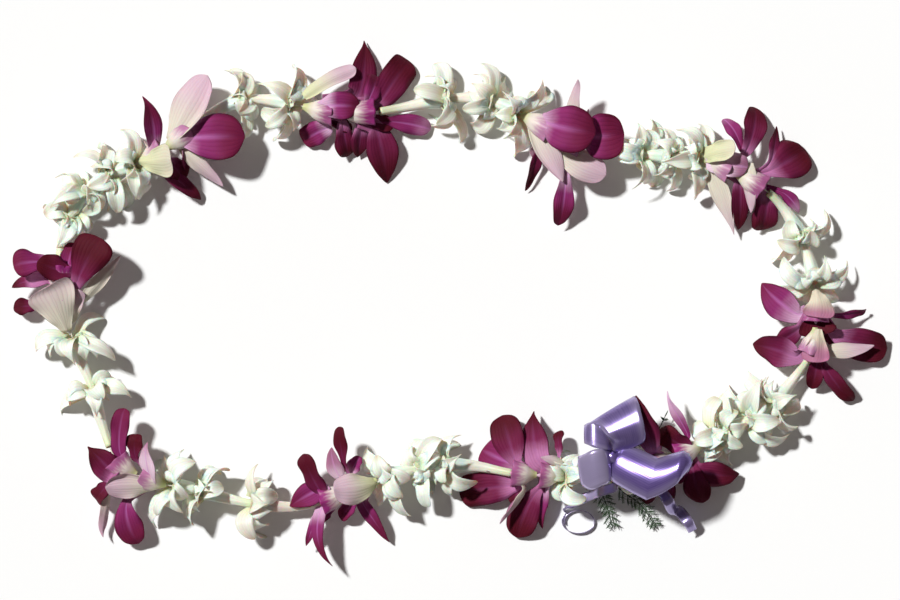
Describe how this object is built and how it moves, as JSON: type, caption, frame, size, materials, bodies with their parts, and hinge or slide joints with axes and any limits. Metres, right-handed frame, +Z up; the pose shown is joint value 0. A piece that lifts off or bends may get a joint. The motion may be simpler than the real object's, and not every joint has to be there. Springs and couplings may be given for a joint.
{
  "type": "fresh flower lei",
  "caption": "Closed loop of orchid blooms and tuberose florets strung on a thread, with a ribbon bow and fern sprigs, laid flat.",
  "frame": {"origin": "middle of the footprint, on the surface the lei lies on", "axes": "+Z up off the surface, +X along the loop's longer way, +Y across it, away from the bow"},
  "size_m": [0.4642, 0.2798, 0.0407],
  "materials": {
    "orchid_petal": "soft velvety petal",
    "tuberose_petal": "waxy petal",
    "thread": "cotton",
    "ribbon": "glossy florist ribbon",
    "fern": "fine leaf"
  },
  "bodies": {
    "root": {"fern_sprig_1": "fern", "fern_sprig_2": "fern", "fern_sprig_3": "fern", "orchid_01a": "orchid_petal", "orchid_01b": "orchid_petal", "orchid_02a": "orchid_petal", "orchid_02b": "orchid_petal", "orchid_03a": "orchid_petal", "orchid_03b": "orchid_petal", "orchid_04a": "orchid_petal", "orchid_04b": "orchid_petal", "orchid_05a": "orchid_petal", "orchid_05b": "orchid_petal", "orchid_06a": "orchid_petal", "orchid_06b": "orchid_petal", "orchid_07a": "orchid_petal", "orchid_07b": "orchid_petal", "orchid_08a": "orchid_petal", "orchid_08b": "orchid_petal", "orchid_09a": "orchid_petal", "orchid_09b": "orchid_petal", "orchid_10a": "orchid_petal", "orchid_10b": "orchid_petal", "ribbon_bow": "ribbon", "thread": "thread", "tuberose_01": "tuberose_petal", "tuberose_02": "tuberose_petal", "tuberose_03": "tuberose_petal", "tuberose_04": "tuberose_petal", "tuberose_05": "tuberose_petal", "tuberose_06": "tuberose_petal", "tuberose_07": "tuberose_petal", "tuberose_08": "tuberose_petal", "tuberose_09": "tuberose_petal", "tuberose_10": "tuberose_petal", "tuberose_11": "tuberose_petal", "tuberose_12": "tuberose_petal", "tuberose_13": "tuberose_petal", "tuberose_14": "tuberose_petal", "tuberose_15": "tuberose_petal", "tuberose_16": "tuberose_petal", "tuberose_17": "tuberose_petal", "tuberose_18": "tuberose_petal", "tuberose_19": "tuberose_petal", "tuberose_20": "tuberose_petal", "tuberose_21": "tuberose_petal", "tuberose_22": "tuberose_petal", "tuberose_23": "tuberose_petal", "tuberose_24": "tuberose_petal", "tuberose_25": "tuberose_petal", "tuberose_26": "tuberose_petal", "tuberose_27": "tuberose_petal", "tuberose_28": "tuberose_petal"}
  },
  "joints": []
}
